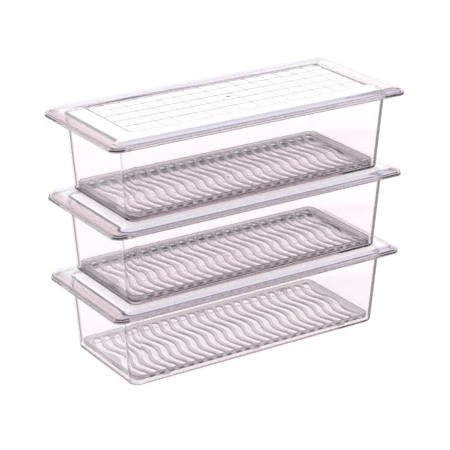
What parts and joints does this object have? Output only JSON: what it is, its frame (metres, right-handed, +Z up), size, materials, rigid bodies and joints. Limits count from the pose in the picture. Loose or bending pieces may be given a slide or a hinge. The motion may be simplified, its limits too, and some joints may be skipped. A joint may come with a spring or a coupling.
{
  "type": "stack of lidded fridge storage bins",
  "caption": "Long clear plastic fridge bins stacked on each other's lids: flanged tub, lift-off lid with a gridded flat top, and a slotted drain tray inside each.",
  "frame": {"origin": "middle of the bottom bin's foot, on the surface the stack stands on", "axes": "+X along the bins' length, +Y across them, +Z up"},
  "size_m": [0.31, 0.128, 0.234],
  "materials": {
    "tub_plastic": "clear, polished, faint lilac tint",
    "lid_plastic": "clear, polished, faint lilac tint",
    "tray_plastic": "clear, polished, slightly milky"
  },
  "bodies": {
    "bottom_tub": {"bottom_tub": "tub_plastic"},
    "bottom_drain_tray": {"bottom_drain_tray": "tray_plastic"},
    "bottom_lid": {"bottom_lid": "lid_plastic"},
    "middle_tub": {"middle_tub": "tub_plastic"},
    "middle_drain_tray": {"middle_drain_tray": "tray_plastic"},
    "middle_lid": {"middle_lid": "lid_plastic"},
    "top_tub": {"top_tub": "tub_plastic"},
    "top_drain_tray": {"top_drain_tray": "tray_plastic"},
    "top_lid": {"top_lid": "lid_plastic"}
  },
  "joints": [
    {"name": "bottom_tray_lift", "type": "slide", "parent": "bottom_tub", "child": "bottom_drain_tray", "axis": [0, 0, 1], "range_m": [0, 0.06]},
    {"name": "bottom_lid_lift", "type": "slide", "parent": "bottom_tub", "child": "bottom_lid", "axis": [0, 0, 1], "range_m": [0, 0.1]},
    {"name": "middle_bin_lift", "type": "slide", "parent": "bottom_lid", "child": "middle_tub", "axis": [0, 0, 1], "range_m": [0, 0.1]},
    {"name": "middle_tray_lift", "type": "slide", "parent": "middle_tub", "child": "middle_drain_tray", "axis": [0, 0, 1], "range_m": [0, 0.06]},
    {"name": "middle_lid_lift", "type": "slide", "parent": "middle_tub", "child": "middle_lid", "axis": [0, 0, 1], "range_m": [0, 0.1]},
    {"name": "top_bin_lift", "type": "slide", "parent": "middle_lid", "child": "top_tub", "axis": [0, 0, 1], "range_m": [0, 0.1]},
    {"name": "top_tray_lift", "type": "slide", "parent": "top_tub", "child": "top_drain_tray", "axis": [0, 0, 1], "range_m": [0, 0.06]},
    {"name": "top_lid_lift", "type": "slide", "parent": "top_tub", "child": "top_lid", "axis": [0, 0, 1], "range_m": [0, 0.1]}
  ]
}
